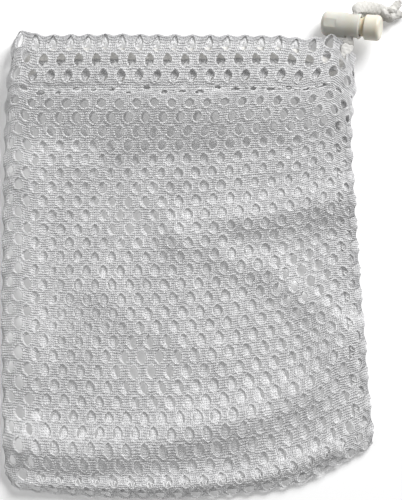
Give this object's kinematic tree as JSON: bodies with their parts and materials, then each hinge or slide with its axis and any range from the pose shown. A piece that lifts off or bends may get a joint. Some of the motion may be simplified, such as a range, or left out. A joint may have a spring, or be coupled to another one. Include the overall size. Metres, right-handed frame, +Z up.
{
  "type": "mesh laundry bag",
  "caption": "Small knitted-mesh drawstring bag lying flat, with a hemmed mouth and a spring barrel lock on the knotted ends of its cord.",
  "frame": {"origin": "on the surface the bag lies on, under the middle of the cloth; the cord's free ends and their lock aren't counted", "axes": "+Y towards the mouth, +X towards the side seam and the corner where the cord comes out, +Z up off the surface"},
  "size_m": [0.164, 0.203, 0.0158],
  "materials": {
    "mesh": "white knitted polyester mesh with open oval holes",
    "thread": "white polyester thread",
    "cord": "soft white braid",
    "lock_plastic": "translucent ivory moulding",
    "button_plastic": "translucent cream moulding",
    "spring_wire": "drawn spring wire"
  },
  "bodies": {
    "bag": {"front_mesh_panel": "mesh", "back_mesh_panel": "mesh", "front_casing_hem": "mesh", "back_casing_hem": "mesh", "side_seam_allowance": "mesh", "bottom_seam_allowance": "mesh", "front_hem_stitching": "thread", "back_hem_stitching": "thread", "side_seam_stitching": "thread", "bottom_seam_stitching": "thread", "drawstring": "cord"},
    "cord_lock": {"cord_lock_barrel": "lock_plastic", "cord_lock_spring": "spring_wire", "cord_end_upper": "cord", "cord_end_lower": "cord", "end_knot": "cord"},
    "plunger": {"cord_lock_plunger": "button_plastic"}
  },
  "joints": [
    {"name": "cord_ends_draw", "type": "slide", "parent": "bag", "child": "cord_lock", "axis": [0.2588, 0.9659, 0], "range_m": [0, 0.012]},
    {"name": "plunger_press", "type": "slide", "parent": "cord_lock", "child": "plunger", "axis": [-0.9587, 0.1177, -0.2588], "range_m": [0, 0.0017], "stiffness_N_per_m": 1500, "deforming": ["cord_lock_spring"]}
  ]
}
